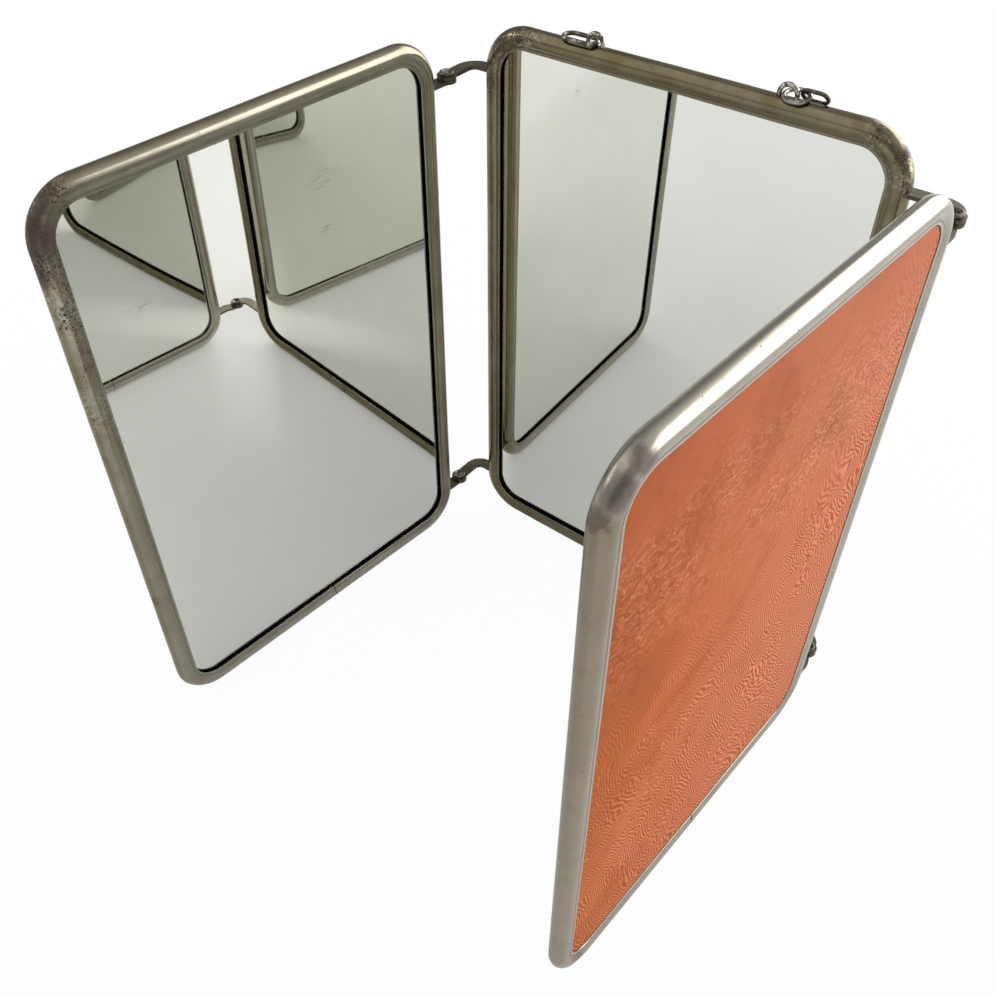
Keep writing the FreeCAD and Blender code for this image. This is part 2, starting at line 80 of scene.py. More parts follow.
class MirrorSizes(bpy.types.PropertyGroup):
    """The sizes of the dressed mirror, nearly all the same as those of its solid parts."""

    panel_width: length("Panel width", "Width of each panel over its frame", 150)
    panel_height: length("Panel height", "Height of each panel over its frame", 220)
    corner: length("Corner radius", "Radius of a panel's outer corners", 17)
    bead: length("Bead radius", "Radius of the rolled bead", 3.35)
    wall: length("Wall", "Thickness of the rolled sheet", 0.55)
    lip_face: length("Lip offset", "Each lip's face from the middle plane", 2.6)
    lip_inset: length("Lip inset", "The lips' edges from the outer edge", 7)
    centre_seam: length("Centre seam", "Centre's butt seam off its middle", 4)
    left_seam: length("Left seam", "Left wing's butt seam off its middle", 2)
    right_seam: length("Right seam", "Right wing's butt seam off its middle", -1.2)
    right_rise: length("Right rise", "How much taller the right wing is at its free end", 3.0)
    seam_gap: length("Seam gap", "Gap between the butted ends", 0.36)
    slot_room: length("Slot room", "Clearance round each hinge strip in its slot", 0.12)
    arm_width: length("Strip width", "Width of the hinge strips", 5)
    arm_thickness: length("Strip thickness", "Thickness of the hinge strips", 1.2)
    arm_gap: length("Strip gap", "Gap between two strips on one rivet", 0.1)
    left_silver: length("Left silver", "How far behind the glass's face its silver seems to lie", 0.85)
    centre_silver: length("Centre silver", "The same for the centre glass, set deeper in its lips", 1.15)
    right_silver: length("Right silver", "The same for the right glass", 0.85)
    glass_face: length("Glass face", "The glass's face from the middle plane", 2.05)
    glass_back: length("Glass back", "The glass's rear from the middle plane", 0.95)
    sheet_inset: length("Glass inset", "The glass's edge from the frame's outer edge", 3.6)
    cover_inset: length("Cover inset", "The cover's edge from the frame's outer edge", 7.4)
    cover_front: length("Cover front", "The cover's inner face from the middle plane", 2.05)
    cover_back: length("Cover back", "The cover's outer face from the middle plane", 2.3)
    left_out: length("Left pin out", "Left pin from the centre frame's side", 7.2)
    left_front: length("Left pin front", "Left pin in front of the middle plane", 14)
    left_reach: length("Left reach", "Left wing's frame from its pin", 7.2)
    left_sway: length("Left sway", "Left wing's offset from its pin", 0)
    left_angle: turn("Left angle", "Left wing's turn from flat", 85.2)
    right_out: length("Right pin out", "Right pin from the centre frame's side", 14)
    right_front: length("Right pin front", "Right pin in front of the middle plane", 5.6)
    right_reach: length("Right reach", "Right wing's frame from its pin", 11.6)
    right_sway: length("Right sway", "Right wing's offset from its pin", 1.4)
    right_angle: turn("Right angle", "Right wing's turn from flat", -92.4)
    shank: length("Shank radius", "Radius of the rivets' shanks", 1.3)
    head: length("Head radius", "Radius of the rivets' heads", 2.55)
    head_height: length("Head height", "Height of the rivets' heads", 0.45)
    rim: length("Rim radius", "Radius of the rolled rim on each head", 1.95)
    eye_spacing: length("Eye spacing", "Distance between the two hanging eyes", 66)
    eye_shift: length("Eye shift", "How far the pair of eyes is off the middle", 1.2)
    eye_wire: length("Eye wire", "Radius of the hanging eyes' wire", 0.75)
    eye_arch: length("Eye arch", "Radius of the hanging eyes' arches", 2.75)
    eye_spring: length("Eye spring", "Height of the arches' springing above the frame", 0.7)


class MirrorColours(bpy.types.PropertyGroup):
    """The colours of the dressed mirror."""

    nickel: colour("Nickel", "Clean nickel plate", (0.47, 0.45, 0.385))
    pit: colour("Pits", "Rust and bare steel in the pits", (0.040, 0.027, 0.020))
    silver: colour("Silver", "Silvered glass", (0.875, 0.885, 0.835))
    desilver: colour("Spoilt silver", "Spots where the silver has gone", (0.09, 0.08, 0.06))
    cover: colour("Cover", "Terracotta of the back cover", (0.500, 0.116, 0.024))
    ridge: colour("Cover ridges", "Paler ridges of the cover's grain", (0.750, 0.270, 0.125))
    valley: colour("Cover valleys", "Darker valleys of the cover's grain", (0.345, 0.064, 0.014))
    strip: colour("Hinge strips", "Browned plate of the hinge strips", (0.095, 0.080, 0.052))
    wire: colour("Wire", "Bright wire of the eyes and links", (0.50, 0.475, 0.42))
    board: colour("Board", "Pressed board behind the glass", (0.30, 0.23, 0.16))
    floor: colour("Floor", "The pale surface that the mirror stands on", (0.80, 0.80, 0.79))


def sizes():
    return bpy.context.scene.mirror_sizes


def size_of(panel, what):
    """One of the sizes that each panel or side has of its own."""
    return getattr(sizes(), "%s_%s" % (panel, what))


def colours():
    return bpy.context.scene.mirror_colours


# ------------------------------ shader maths

class Signal:
    """One output socket. Arithmetic on it adds the Math nodes that work it out."""

    def __init__(self, paint, socket):
        self.paint = paint
        self.socket = socket

    def maths(self, operation, *terms):
        return self.paint.add("ShaderNodeMath", {"operation": operation}, dict(enumerate(terms)))

    def __add__(self, other):
        return self.maths("ADD", self, other)

    __radd__ = __add__

    def __sub__(self, other):
        return self.maths("SUBTRACT", self, other)

    def __rsub__(self, other):
        return self.maths("SUBTRACT", other, self)

    def __mul__(self, other):
        return self.maths("MULTIPLY", self, other)

    __rmul__ = __mul__

    def __pow__(self, other):
        return self.maths("POWER", self, other)

    def sine(self):
        return self.maths("SINE", self)

    def size(self):
        return self.maths("ABSOLUTE", self)

    def least(self, other):
        return self.maths("MINIMUM", self, other)

    def most(self, other):
        return self.maths("MAXIMUM", self, other)

    def ramp(self, low, high, to_low=0.0, to_high=1.0):
        """A smooth step from to_low to to_high as the signal goes from low to high."""
        values = {"Value": self, "From Min": low, "From Max": high, "To Min": to_low, "To Max": to_high}
        return self.paint.add("ShaderNodeMapRange", {"interpolation_type": "SMOOTHSTEP"}, values)

    def fade(self, low, high, strength=1.0):
        """A smooth step down from strength to nothing."""
        return self.ramp(low, high, strength, 0.0)

    def near(self, value, width, strength=1.0):
        """A band about a value, falling from strength to nothing at its width."""
        return (self - value).size().fade(0.0, width, strength)


class Paint:
    """A node tree, and the one way that nodes are added to it."""

    def __init__(self, tree):
        self.tree = tree
        tree.nodes.clear()

    def add(self, kind, settings=None, values=None, output=0):
        """Add a node of a kind: first its settings, then the values or links of its sockets."""
        node = self.tree.nodes.new(kind)
        for name, setting in (settings or {}).items():
            setattr(node, name, setting)
        for name, item in (values or {}).items():
            if isinstance(item, Signal):
                self.tree.links.new(item.socket, node.inputs[name])
            else:
                node.inputs[name].default_value = item
        return Signal(self, node.outputs[output]) if len(node.outputs) else None

    def place(self):
        """Where the point is, in metres."""
        return self.add("ShaderNodeTexCoord", output=3)

    def flow(self):
        """The piece's own map: along and around a bar, or across and up a sheet, in metres."""
        return self.add("ShaderNodeUVMap", {"uv_map": "flow"})

    def stretch(self, vector, scale=(1, 1, 1), shift=(0, 0, 0), turn_by=(0, 0, 0)):
        values = {"Vector": vector, "Scale": scale, "Location": shift, "Rotation": turn_by}
        return self.add("ShaderNodeMapping", None, values)

    def split(self, vector):
        return [self.add("ShaderNodeSeparateXYZ", None, {"Vector": vector}, output=n) for n in range(3)]

    def noise(self, vector, scale, detail=2.0, rough=0.5, twist=0.0, shift=None):
        """Cloudy noise. A shift takes it from another part of the pattern."""
        if shift:
            vector = self.stretch(vector, shift=shift)
        values = {"Vector": vector, "Scale": scale, "Detail": detail, "Roughness": rough,
                  "Distortion": twist}
        return self.add("ShaderNodeTexNoise", None, values)

    def cells(self, vector, scale):
        """Distance to the nearest of many scattered points."""
        return self.add("ShaderNodeTexVoronoi", None, {"Vector": vector, "Scale": scale})

    def distance(self, vector, point):
        gap = {0: vector, 1: point}
        return self.add("ShaderNodeVectorMath", {"operation": "DISTANCE"}, gap, output=1)

    def blend(self, factor, first, second):
        """Mix two colours."""
        values = {0: factor, 6: opaque(first), 7: opaque(second)}
        return self.add("ShaderNodeMix", {"data_type": "RGBA", "clamp_factor": True}, values, output=2)

    def coats(self, ground, *coats):
        """Lay coats over a ground colour, each given as how much of it shows and its colour."""
        for shows, shade in coats:
            ground = self.blend(shows, ground, shade)
        return ground

    def bump(self, height, depth, strength=1.0):
        return self.add("ShaderNodeBump", None, {"Height": height, "Distance": depth, "Strength": strength})

    def surface(self, **values):
        """The finished surface. Each keyword is a socket's name with underscores for spaces."""
        named = {name.replace("_", " "): item for name, item in values.items()}
        shader = self.add("ShaderNodeBsdfPrincipled", None, named)
        self.add("ShaderNodeOutputMaterial", None, {"Surface": shader})


def opaque(item):
    """A colour property as the four numbers that a colour socket takes."""
    return item if isinstance(item, Signal) else (item[0], item[1], item[2], 1.0)


def new_material(name):
    material = bpy.data.materials.new(name)
    material.use_nodes = True
    return material, Paint(material.node_tree)


# ------------------------------ finishes

# where each frame is most pitted, in metres, with the reach of the pitting
PITTED = {
    "left": (((-0.0945, -0.1695, 0.200), 0.014), ((-0.0945, -0.1695, 0.061), 0.006),
             ((-0.0940, -0.1600, 0.2175), 0.012), ((-0.0935, -0.1210, 0.2195), 0.007),
             ((-0.0920, -0.0860, 0.2195), 0.006), ((-0.0880, -0.0240, 0.2165), 0.012)),
    "centre": (((-0.0680, -0.0030, 0.2140), 0.013), ((-0.0600, -0.0030, 0.2180), 0.010),
               ((-0.0730, -0.0020, 0.2000), 0.010), ((0.0705, -0.0026, 0.2128), 0.006),
               ((0.0630, -0.0028, 0.2182), 0.005)),
    "right": (((0.0800, -0.1660, 0.2090), 0.004), ((0.0900, -0.0200, 0.0100), 0.008)),
}
# soft dark blotches of tarnish; those on the right wing's corner are partly a painted dark reflection:
# place and reach
BLOTCHED = {
    "left": (((-0.0960, -0.1695, 0.2080), 0.0125), ((-0.0965, -0.1640, 0.2150), 0.0090),
             ((-0.0965, -0.1700, 0.1960), 0.0070)),
    "centre": (((-0.0745, 0.0000, 0.2050), 0.0050), ((0.0712, -0.0008, 0.2140), 0.0030)),
    "right": (((0.0862, -0.1625, 0.2165), 0.0064), ((0.0870, -0.1565, 0.2200), 0.0050),
              ((0.0835, -0.1655, 0.2105), 0.0042)),
}
# places where the film is rubbed through to brighter plate
RUBBED = {
    "left": (((-0.0940, -0.1690, 0.1840), 0.014), ((-0.0930, -0.1690, 0.1480), 0.012)),
    "centre": (((-0.0665, -0.0030, 0.2145), 0.016), ((-0.0600, -0.0020, 0.2180), 0.013),
               ((0.0720, -0.0010, 0.2100), 0.014), ((0.0660, -0.0010, 0.2170), 0.010)),
    "right": (((0.0900, -0.1000, 0.0030), 0.020),),
}
# how strong each frame's film is, its colour, and the colour of the flat lips: the film's colour tinted as
# a painted reflection of what they face
FILM = {"left": (0.60, (0.215, 0.188, 0.118), (0.190, 0.196, 0.130)),
        "centre": (0.92, (0.160, 0.132, 0.066), (0.205, 0.182, 0.118)),
        "right": (0.34, (0.258, 0.212, 0.152), (0.360, 0.360, 0.330))}
# coats on the nickel
STAIN = (0.130, 0.095, 0.070)
BLOTCH = (0.058, 0.041, 0.036)
# the dark line in the crease between bead and lip: grime, and painted shade that marks the fold
GRIME_AND_PAINTED_SHADE = (0.060, 0.050, 0.036)
RUST = (0.075, 0.048, 0.032)
# distances round the channel's section from its outermost line, in metres: the outer ridge, whose browner
# film is partly painted shade; a lighter line on the centre's bead, a painted highlight;
# the crease between bead and lip; and the flat lip
OUTER_RIDGE_DARKENED = (0.0016, 0.0034)
PAINTED_HIGHLIGHT_LINE = 0.0072
CREASE = 0.00795
LIP = (0.0078, 0.0086)
# how deep the finest unevenness of metal is, in metres
TOOTH = 0.00005


def spots(paint, place, points, ragged, core):
    """A field that is one at any of the given places and falls to nothing at its reach."""
    field = None
    for point, reach in points:
        near = (paint.distance(place, point) + ragged).fade(reach * core, reach)
        field = near if field is None else field.most(near)
    return field


def pitting(paint, place, damage, patch):
    """Wide and tiny pits and rusty clumps where the damage is, and a few strays anywhere."""
    spread = (damage * (0.30 + patch * 0.70) - 0.14).most(0.0)
    warped = paint.noise(place, 1700.0, 2.0, 0.5) * 0.30
    wide = spread - paint.cells(place, 700.0) - warped + 0.13
    tiny = spread * 1.15 - paint.cells(place, 1700.0) - warped + 0.15
    clump = (paint.noise(place, 340.0, 4.0, 0.66, 1.0) - 0.69 + damage * 0.12).ramp(0.0, 0.05)
    pits = wide.ramp(0.0, 0.10).most(tiny.ramp(0.0, 0.10) * 0.9).most(clump * damage.ramp(0.15, 0.6) * 0.8)
    stray = (0.085 - paint.cells(paint.stretch(place, shift=(0.4, 0.2, 0.1)), 330.0)).ramp(0.0, 0.03)
    return pits.most(stray * 0.75)


def nickel_finish(panel):
    """Old nickel plate: a cloudy film, soft blotches, places worn through the film and clusters of dark
    pits; painted shade in the crease and on the left's outer ridge, a painted highlight line on the centre,
    and painted reflections on the lips and the right wing's corner.
    """
    shades = colours()
    amount, film_colour, lip_film_and_reflection = FILM[panel]
    material, paint = new_material("%s_nickel" % panel)
    place = paint.place()
    flow = paint.flow()
    off_ridge = paint.split(flow)[1].size()
    _, back, up = paint.split(place)
    front = back * -1.0
    lines = paint.noise(paint.stretch(flow, (26, 2400, 1)), 1.0, 3.0, 0.6)
    cloud = paint.noise(place, 52.0, 5.0, 0.62, 0.5)
    patch = paint.noise(place, 150.0, 3.0, 0.6, 0.8)
    fine = paint.noise(place, 900.0, 3.0, 0.6)
    ragged = (patch - 0.5) * 0.008
    damage = spots(paint, place, PITTED[panel], ragged, 0.0)
    if panel == "left":
        # the bar farthest from the pins is pitted most of the way down, in uneven patches
        uneven = paint.noise(paint.stretch(place, (1, 1, 0.6), (0.3, 0, 0)), 125.0, 4.0, 0.62)
        worst = up.ramp(0.045, 0.185, 0.0, 0.62) + up.ramp(0.150, 0.200, 0.0, 0.18)
        damage = damage.most(front.ramp(0.158, 0.165) * worst * uneven.ramp(0.40, 0.56, 0.25, 1.0))
    blotch = spots(paint, place, BLOTCHED[panel], ragged + (fine - 0.5) * 0.002, 0.35)
    rubbed_and_highlight = spots(paint, place, RUBBED[panel], (patch - 0.5) * 0.010, 0.3)
    rubbed_and_highlight = rubbed_and_highlight * (cloud * 0.5 + paint.noise(place, 700.0, 4.0, 0.7, 0.6)).ramp(0.74, 0.86)
    pits = pitting(paint, place, damage, patch)
    # a dark line along the crease between bead and lip, partly grime and partly painted shade
    crease_grime_and_shade = off_ridge.near(CREASE, 0.00045)
    film = amount * (0.45 + cloud * 1.10) + (lines - 0.5) * 0.10 + (fine - 0.5) * 0.05 + damage * 0.20
    if panel == "centre":
        # on the centre, a lighter line of thinner film along the bead by the crease is a painted highlight
        rubbed_and_highlight = rubbed_and_highlight.most(off_ridge.near(PAINTED_HIGHLIGHT_LINE, 0.0006, 0.45) * cloud.ramp(0.4, 0.6))
    if panel == "left":
        # the outer ridge and the bar by the pins are the brownest; on the ridge the darker film is partly
        # painted shade
        film = film + off_ridge.fade(*OUTER_RIDGE_DARKENED, 0.35) + back.ramp(-0.034, -0.022) * 0.30
    film = film * (1.0 - rubbed_and_highlight * 0.7)
    if panel != "centre":
        # the wings' feet are kept bright by standing and sliding
        film = film * up.ramp(0.001, 0.011, 0.30, 1.0)
    if panel == "right":
        # the bar farthest from the pin, below its corner, has kept the heaviest film
        film = film.most(front.ramp(0.1520, 0.1575) * up.fade(0.208, 0.219) * (0.70 + cloud * 0.4))
        blotch = blotch * 0.75
    shade = paint.coats(
        shades.nickel,
        # the flat lips are tinted with a painted reflection
        (film.most(0.0).least(1.0), paint.blend(off_ridge.ramp(*LIP), film_colour, lip_film_and_reflection)),
        (patch.ramp(0.50, 0.72) * (0.16 + damage * 0.34), STAIN),
        (blotch * (0.55 + patch * 0.6), BLOTCH),
        (crease_grime_and_shade * 0.65, GRIME_AND_PAINTED_SHADE),
        (pits, paint.blend(fine, shades.pit, RUST)))
    height = (fine - 0.5) * 0.030 + lines * 0.015 - pits * 0.9 + rubbed_and_highlight * 0.2
    dull = pits * 0.45 + blotch * 0.16 + crease_grime_and_shade * 0.25 + rubbed_and_highlight * 0.06
    paint.surface(
        Base_Color=shade,
        Metallic=1.0 - pits * 0.75 - blotch * 0.25 - crease_grime_and_shade * 0.3,
        Roughness=(0.165 + cloud * 0.12 + (patch - 0.5) * 0.10 + dull).most(0.12),
        Normal=paint.bump(height, TOOTH),
    )
    return material


# how far each old glass throws its reflections off, across and up, in degrees, and how much it is bowed
# across, up and diagonally, as slope per metre
THROW = {"left": (2.217, -2.051, 0.159, 0.211, 0.053), "centre": (-0.240, 0.830, 0.0, 0.0, 0.0),
         "right": (-1.104, -0.352, 0.016, -0.328, 0.282)}
# faint rubbed marks on the left glass, a few short strokes each: place across and up, and reach
MARKS = ((0.0251, 0.1882, 0.0075), (0.0220, 0.1704, 0.0045), (-0.0502, 0.1737, 0.0050))
MARK_SHAPE = (0.7, 1.5, 1)
HAZED_SILVER = (0.66, 0.665, 0.60)


def silver_finish(panel):
    """Silver behind old glass: a faint green cast, a slight wave, specks of dust and scuffed places."""
    shades = colours()
    size = sizes()
    material, paint = new_material("%s_silvered_glass" % panel)
    flow = paint.flow()
    across, up, _ = paint.split(flow)
    rise = up - size.panel_height / 2
    inner = size.corner - size.lip_inset
    out_x = (across.size() - (size.panel_width / 2 - size.corner)).most(0.0)
    out_z = (rise.size() - (size.panel_height / 2 - size.corner)).most(0.0)
    edge = inner - (out_x * out_x + out_z * out_z) ** 0.5
    rim = edge.fade(0.0, 0.004)
    specks = paint.noise(flow, 760.0, 3.0, 0.65, 0.6)
    haze = paint.noise(flow, 30.0, 4.0, 0.6, 0.5)
    smear = paint.noise(paint.stretch(flow, (60, 9, 1), turn_by=(0, 0, 0.5)), 1.0, 4.0, 0.6)
    scuffs = paint.noise(flow, 240.0, 5.0, 0.72, 1.0).ramp(0.68, 0.74) * haze.ramp(0.56, 0.68)
    gone = (specks - (1.0 - rim) * 0.24).ramp(0.60, 0.66) * rim.ramp(0.02, 0.3)
    dust = paint.cells(flow, 260.0).fade(0.03, 0.055)
    if panel == "left":
        strokes = paint.noise(paint.stretch(flow, (150, 850, 1), turn_by=(0, 0, 0.3)), 1.0, 2.0, 0.6)
        marks = [((x * MARK_SHAPE[0], z * MARK_SHAPE[1], 0.0), reach) for x, z, reach in MARKS]
        marked = spots(paint, paint.stretch(flow, MARK_SHAPE), marks, 0.0, 0.2)
        scuffs = scuffs.most(marked * strokes.ramp(0.50, 0.64) * 0.8)
    shade = paint.coats(
        shades.silver,
        (haze.ramp(0.3, 0.8) * 0.12, HAZED_SILVER),
        ((gone * 0.7).most(scuffs * 0.30), shades.desilver))
    throw_x, throw_z = (math.tan(math.radians(angle)) for angle in THROW[panel][:2])
    bow_x, bow_z, bow_across = THROW[panel][2:]
    wave = paint.noise(flow, 11.0, 1.0, 0.4)
    height = wave * 0.00006 - across * (throw_x + across * (bow_x / 2) + rise * bow_across)
    height = height - rise * (throw_z + rise * (bow_z / 2))
    paint.surface(
        Base_Color=shade,
        Metallic=1.0,
        Roughness=0.012 + smear.ramp(0.5, 0.8) * 0.03 + dust * 0.22 + gone * 0.35 + scuffs * 0.12,
        Normal=paint.bump(height, 1.0),
    )
    return material


# the cover's coats, from the broadest to the smallest, and the spacing of its ridges in metres
PAINTED_SHEEN_SIDE = (0.620, 0.186, 0.082)
BROWN_SIDE = (0.405, 0.080, 0.000)
SMUDGE = (0.285, 0.062, 0.008)
CLOUDED = (0.330, 0.085, 0.035)
DARKER_TOWARDS_TOP = (0.330, 0.100, 0.055)
BROWN_CREST = (0.535, 0.150, 0.008)
DARK_CURL = (0.215, 0.045, 0.010)
PALE_CURL = (0.80, 0.35, 0.20)
RIDGE_PITCH = 0.00118


def cover_finish():
    """Terracotta coated paper with fine wavy ridges, like the lines of a fingerprint."""
    shades = colours()
    material, paint = new_material("terracotta_cover")
    flow = paint.flow()
    across, up, _ = paint.split(flow)
    bend = paint.noise(flow, 17.0, 1.0, 0.4)
    sway = paint.noise(flow, 75.0, 1.0, 0.4, shift=(0.31, 0.17, 0))
    ripple = paint.noise(flow, 300.0, 2.0, 0.55)
    broken = paint.noise(flow, 620.0, 3.0, 0.6)
    faint = paint.noise(flow, 27.0, 3.0, 0.6, shift=(0.7, 0.4, 0))
    squiggle = paint.noise(flow, 38.0, 3.0, 0.6, shift=(0.5, 0.8, 0)).ramp(0.50, 0.62)
    field = across * 0.86 - up * 0.50 + bend * 0.050 + sway * 0.0085 + ripple * (0.0016 + squiggle * 0.0022)
    ridges = (field * (math.tau / RIDGE_PITCH)).sine() * 0.5 + 0.5
    # the ridges are sharp low down and toward the hinge, and worn nearly smooth above that; in a band
    # across the upper part they break up into short curls
    below = 0.100 + (across * -1.25).most(0.0) - up + (faint - 0.5) * 0.05
    strength = below.ramp(-0.060, 0.045, 0.12, 1.0) * faint.ramp(0.32, 0.60, 0.50, 1.0)
    banded = (up - 0.174 + (faint - 0.5) * 0.05).size()
    curled = banded.fade(0.008, 0.032) * faint.ramp(0.36, 0.52, 0.35, 1.0)
    curls = paint.noise(paint.stretch(flow, (300, 460, 1), (0.3, 0.1, 0)), 1.0, 2.0, 0.5)
    light_curl = curls.near(0.54, 0.045) * curled
    dark_curl = curls.near(0.45, 0.040) * curled
    grain = (ridges - 0.5) * strength * (1.0 - curled * 0.50) * (0.45 + broken * 1.1) + 0.5
    cloud = paint.noise(flow, 24.0, 4.0, 0.6, 0.6)
    smudge = paint.noise(flow, 95.0, 4.0, 0.62, 0.5, shift=(0.2, 0.9, 0))
    speck = paint.noise(flow, 1000.0, 3.0, 0.7).ramp(0.60, 0.72) * (0.25 + curled * 0.75)
    # lighter and pinker towards the hinge side and the top: painted sheen
    painted_sheen = ((0.05 - across) * 5.0 + (up - 0.11) * 2.0 + (cloud - 0.5) * 0.5).ramp(-0.1, 0.8)
    browner = (across * 4.5 + (cloud - 0.5) * 1.6).ramp(-0.1, 0.45)
    shade = paint.coats(
        shades.cover,
        (painted_sheen, PAINTED_SHEEN_SIDE),
        (browner * 0.95, BROWN_SIDE),
        (smudge.ramp(0.50, 0.70) * (0.22 + browner * 0.40), SMUDGE),
        (cloud.ramp(0.50, 0.64) * 0.30, CLOUDED),
        # darker towards the top
        (up.ramp(0.12, 0.21) * 0.30, DARKER_TOWARDS_TOP),
        (grain.fade(0.14, 0.50) * 0.80, shades.valley),
        (grain.ramp(0.50, 0.86) * 0.9, paint.blend(browner * 0.90, shades.ridge, BROWN_CREST)),
        (dark_curl * (0.40 + browner * 0.50), DARK_CURL),
        ((light_curl * 0.70).most(speck * 0.5) * (1.0 - browner * 0.60), PALE_CURL))
    height = grain + (broken - 0.5) * 0.35 + (speck + light_curl) * 0.3
    paint.surface(
        Base_Color=shade,
        Roughness=0.58 - grain * 0.12 + (broken - 0.5) * 0.12,
        Normal=paint.bump(height, 0.00011, 0.8),
        Specular_IOR_Level=0.08,
    )
    return material


def strip_finish():
    """Browned steel strip, with the plate worn bright in places."""
    shades = colours()
    material, paint = new_material("browned_strip")
    place = paint.place()
    cloud = paint.noise(place, 210.0, 4.0, 0.6, 0.5)
    fine = paint.noise(place, 1300.0, 3.0, 0.65)
    rust = paint.noise(place, 640.0, 4.0, 0.7, 0.8).ramp(0.58, 0.66)
    worn = (cloud + (fine - 0.5) * 0.3).ramp(0.50, 0.64)
    bare_steel = (0.185, 0.165, 0.120)
    brown_rust = (0.045, 0.028, 0.020)
    shade = paint.coats(shades.strip, (worn * 0.55, bare_steel), (rust * 0.7, brown_rust))
    paint.surface(
        Base_Color=shade,
        Metallic=0.85 - rust * 0.45,
        Roughness=(0.34 + fine * 0.14 + rust * 0.30 - worn * 0.06).most(0.15),
        Normal=paint.bump(fine * 0.5 - rust * 0.8, TOOTH),
    )
    return material


def wire_finish(name, dullness):
    """Plated wire with dark patches, partly tarnish and partly painted shade, the more of them the greater
    the dullness.
    """
    shades = colours()
    material, paint = new_material(name)
    place = paint.place()
    cloud = paint.noise(place, 330.0, 4.0, 0.62, 0.7)
    fine = paint.noise(place, 1700.0, 3.0, 0.6)
    dark = (cloud + (fine - 0.5) * 0.22).ramp(0.44 - dullness * 0.24, 0.60 - dullness * 0.16)
    tarnish_and_painted_shade = (0.085, 0.072, 0.052)
    paint.surface(
        Base_Color=paint.blend(dark, shades.wire, tarnish_and_painted_shade),
        Metallic=1.0 - dark * 0.25,
        Roughness=(0.16 + dark * 0.22 + (fine - 0.5) * 0.08).most(0.08),
        Normal=paint.bump(fine * 0.5 - dark * 0.5, 0.00004),
    )
    return material


def board_finish():
    """Pressed brown board, mottled and fibrous."""
    shades = colours()
    material, paint = new_material("pressed_board")
    place = paint.place()
    fibre = paint.noise(paint.stretch(place, (900, 900, 220)), 1.0, 4.0, 0.65)
    cloud = paint.noise(place, 60.0, 3.0, 0.6)
    dark_fibre = (0.19, 0.135, 0.085)
    pale_mottle = (0.38, 0.30, 0.21)
    shade = paint.coats(shades.board, (fibre, dark_fibre), (cloud.ramp(0.45, 0.75) * 0.5, pale_mottle))
    paint.surface(Base_Color=shade, Roughness=0.80 + fibre * 0.15, Normal=paint.bump(fibre, 0.0001))
    return material


# ------------------------------ shaping helpers

def stand(name, data):
    """Put new data into the scene as an object."""
    made = bpy.data.objects.new(name, data)
    bpy.context.scene.collection.objects.link(made)
    return made


def link_piece(name, bm, materials, smooth_angle=40):
    """Make an object of a bmesh, with its normals outwards and its faces smooth up to an angle."""
    bmesh.ops.recalc_face_normals(bm, faces=bm.faces)
    mesh = bpy.data.meshes.new(name)
    bm.to_mesh(mesh)
    bm.free()
    for material in materials:
        mesh.materials.append(material)
    mesh.shade_smooth()
    mesh.set_sharp_from_angle(angle=math.radians(smooth_angle))
    return stand(name, mesh)


def verts_of(geometry):
    return [item for item in geometry if isinstance(item, bmesh.types.BMVert)]


def edges_of(geometry):
    return [item for item in geometry if isinstance(item, bmesh.types.BMEdge)]


def bend(bm, geometry, centre, axis, angle, steps, slide=(0, 0, 0), merge=False):
    """Extrude a section round an axis, and give back its far end."""
    spun = bmesh.ops.spin(bm, geom=geometry, cent=centre, axis=axis, dvec=slide, angle=angle, steps=steps,
                          use_merge=merge, use_duplicate=False)
    return verts_of(spun["geom_last"]) + edges_of(spun["geom_last"])


def run(bm, geometry, move, steps=1):
    """Extrude a section straight along a vector, in equal steps."""
    return bend(bm, geometry, (0, 0, 0), UP, 0, steps, Vector(move) / steps)


def cap(bm, geometry):
    """Fill the loop that a section's edges make."""
    bmesh.ops.contextual_create(bm, geom=edges_of(geometry))


class Pen:
    """Draws a line of edges from a first point, by straight runs and arcs in one plane."""

    def __init__(self, bm, start, normal):
        self.bm = bm
        self.normal = normal
        self.tip = bm.verts.new(start)

    def to(self, point):
        made = bmesh.ops.extrude_vert_indiv(self.bm, verts=[self.tip])
        self.tip = made["verts"][0]
        self.tip.co = point

    def arc(self, centre, angle, steps):
        self.tip = bend(self.bm, [self.tip], centre, self.normal, angle, steps)[0]


def weld(bm, gap=0.000002):
    bmesh.ops.remove_doubles(bm, verts=bm.verts, dist=gap)


def corner_centres():
    """The centres of a panel's rounded corners: lower right, upper right, upper left, lower left."""
    size = sizes()
    run_x = size.panel_width / 2 - size.corner
    low = size.corner
    high = size.panel_height - size.corner
    return (run_x, low), (run_x, high), (-run_x, high), (-run_x, low)


def panel_matrix(panel):
    """Where a panel drawn like the centre one stands."""
    if panel == "centre":
        return Matrix.Identity(4)
    reach = size_of(panel, "reach") + sizes().panel_width / 2
    shift = Matrix.Translation((SIDE[panel] * reach, size_of(panel, "sway"), 0))
    return Matrix.Translation(pin_point(panel)) @ Matrix.Rotation(size_of(panel, "angle"), 4, "Z") @ shift


def set_in_place(mesh, panel):
    """Take a piece from the origin to its panel; the right wing's free end was bent a little taller."""
    size = sizes()
    if panel == "right":
        for vert in mesh.vertices:
            outward = min(1.0, max(0.0, vert.co.x / size.panel_width + 0.5))
            vert.co.z *= 1 + size.right_rise / size.panel_height * outward
    mesh.transform(panel_matrix(panel))


def pin_point(side):
    """The foot of a hinge's pin."""
    out = sizes().panel_width / 2 + size_of(side, "out")
    return Vector((SIDE[side] * out, -size_of(side, "front"), 0))


def dress(piece, body, slot, *nodes):
    """Set a piece on its body and hide the nodes that it stands for; its slot is not used."""
    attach(piece, body)
    if nodes:
        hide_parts(*nodes)


# ------------------------------ frames

# how far the bead stands out past the lips where it meets them
SHOULDER_STEP = 0.12 * MM


